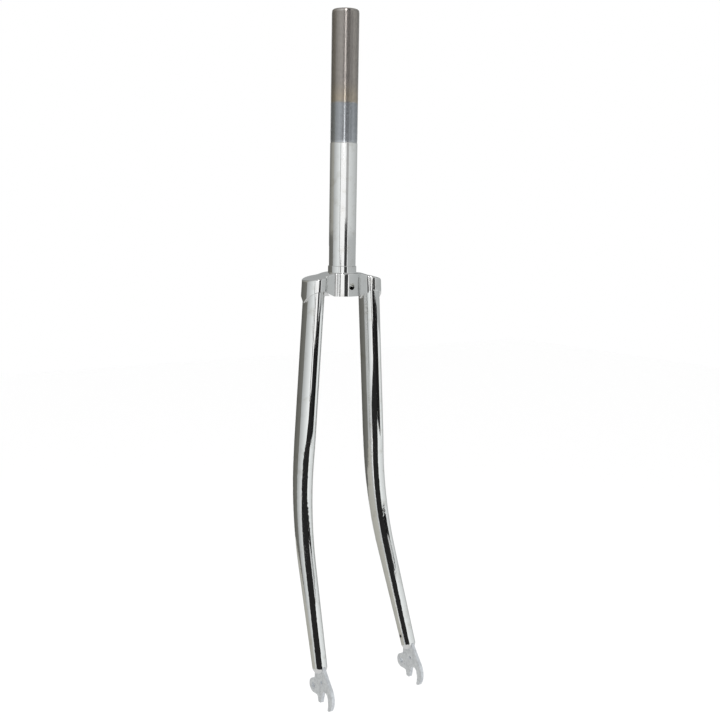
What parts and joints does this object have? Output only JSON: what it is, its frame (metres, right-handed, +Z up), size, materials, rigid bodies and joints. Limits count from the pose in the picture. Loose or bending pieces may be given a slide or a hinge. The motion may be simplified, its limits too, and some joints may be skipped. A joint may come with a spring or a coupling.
{
  "type": "rigid bicycle fork",
  "caption": "Chromed rigid bicycle fork with a threaded steerer, lugged crown, raked oval blades and stamped slotted dropouts.",
  "frame": {"origin": "on the steering axis, at the crown race shoulder on top of the fork crown", "axes": "+Z up along the steerer, -Y forward in the riding direction, +X to the rider's left"},
  "size_m": [0.1172, 0.089, 0.636],
  "materials": {
    "bright_chrome": "mirror plated",
    "steerer_steel": "plated below, bare machined thread above",
    "dropout_steel": "satin plated"
  },
  "bodies": {
    "root": {"steerer_tube": "steerer_steel", "fork_crown": "bright_chrome", "left_blade": "bright_chrome", "right_blade": "bright_chrome", "left_dropout": "dropout_steel", "right_dropout": "dropout_steel"}
  },
  "joints": []
}
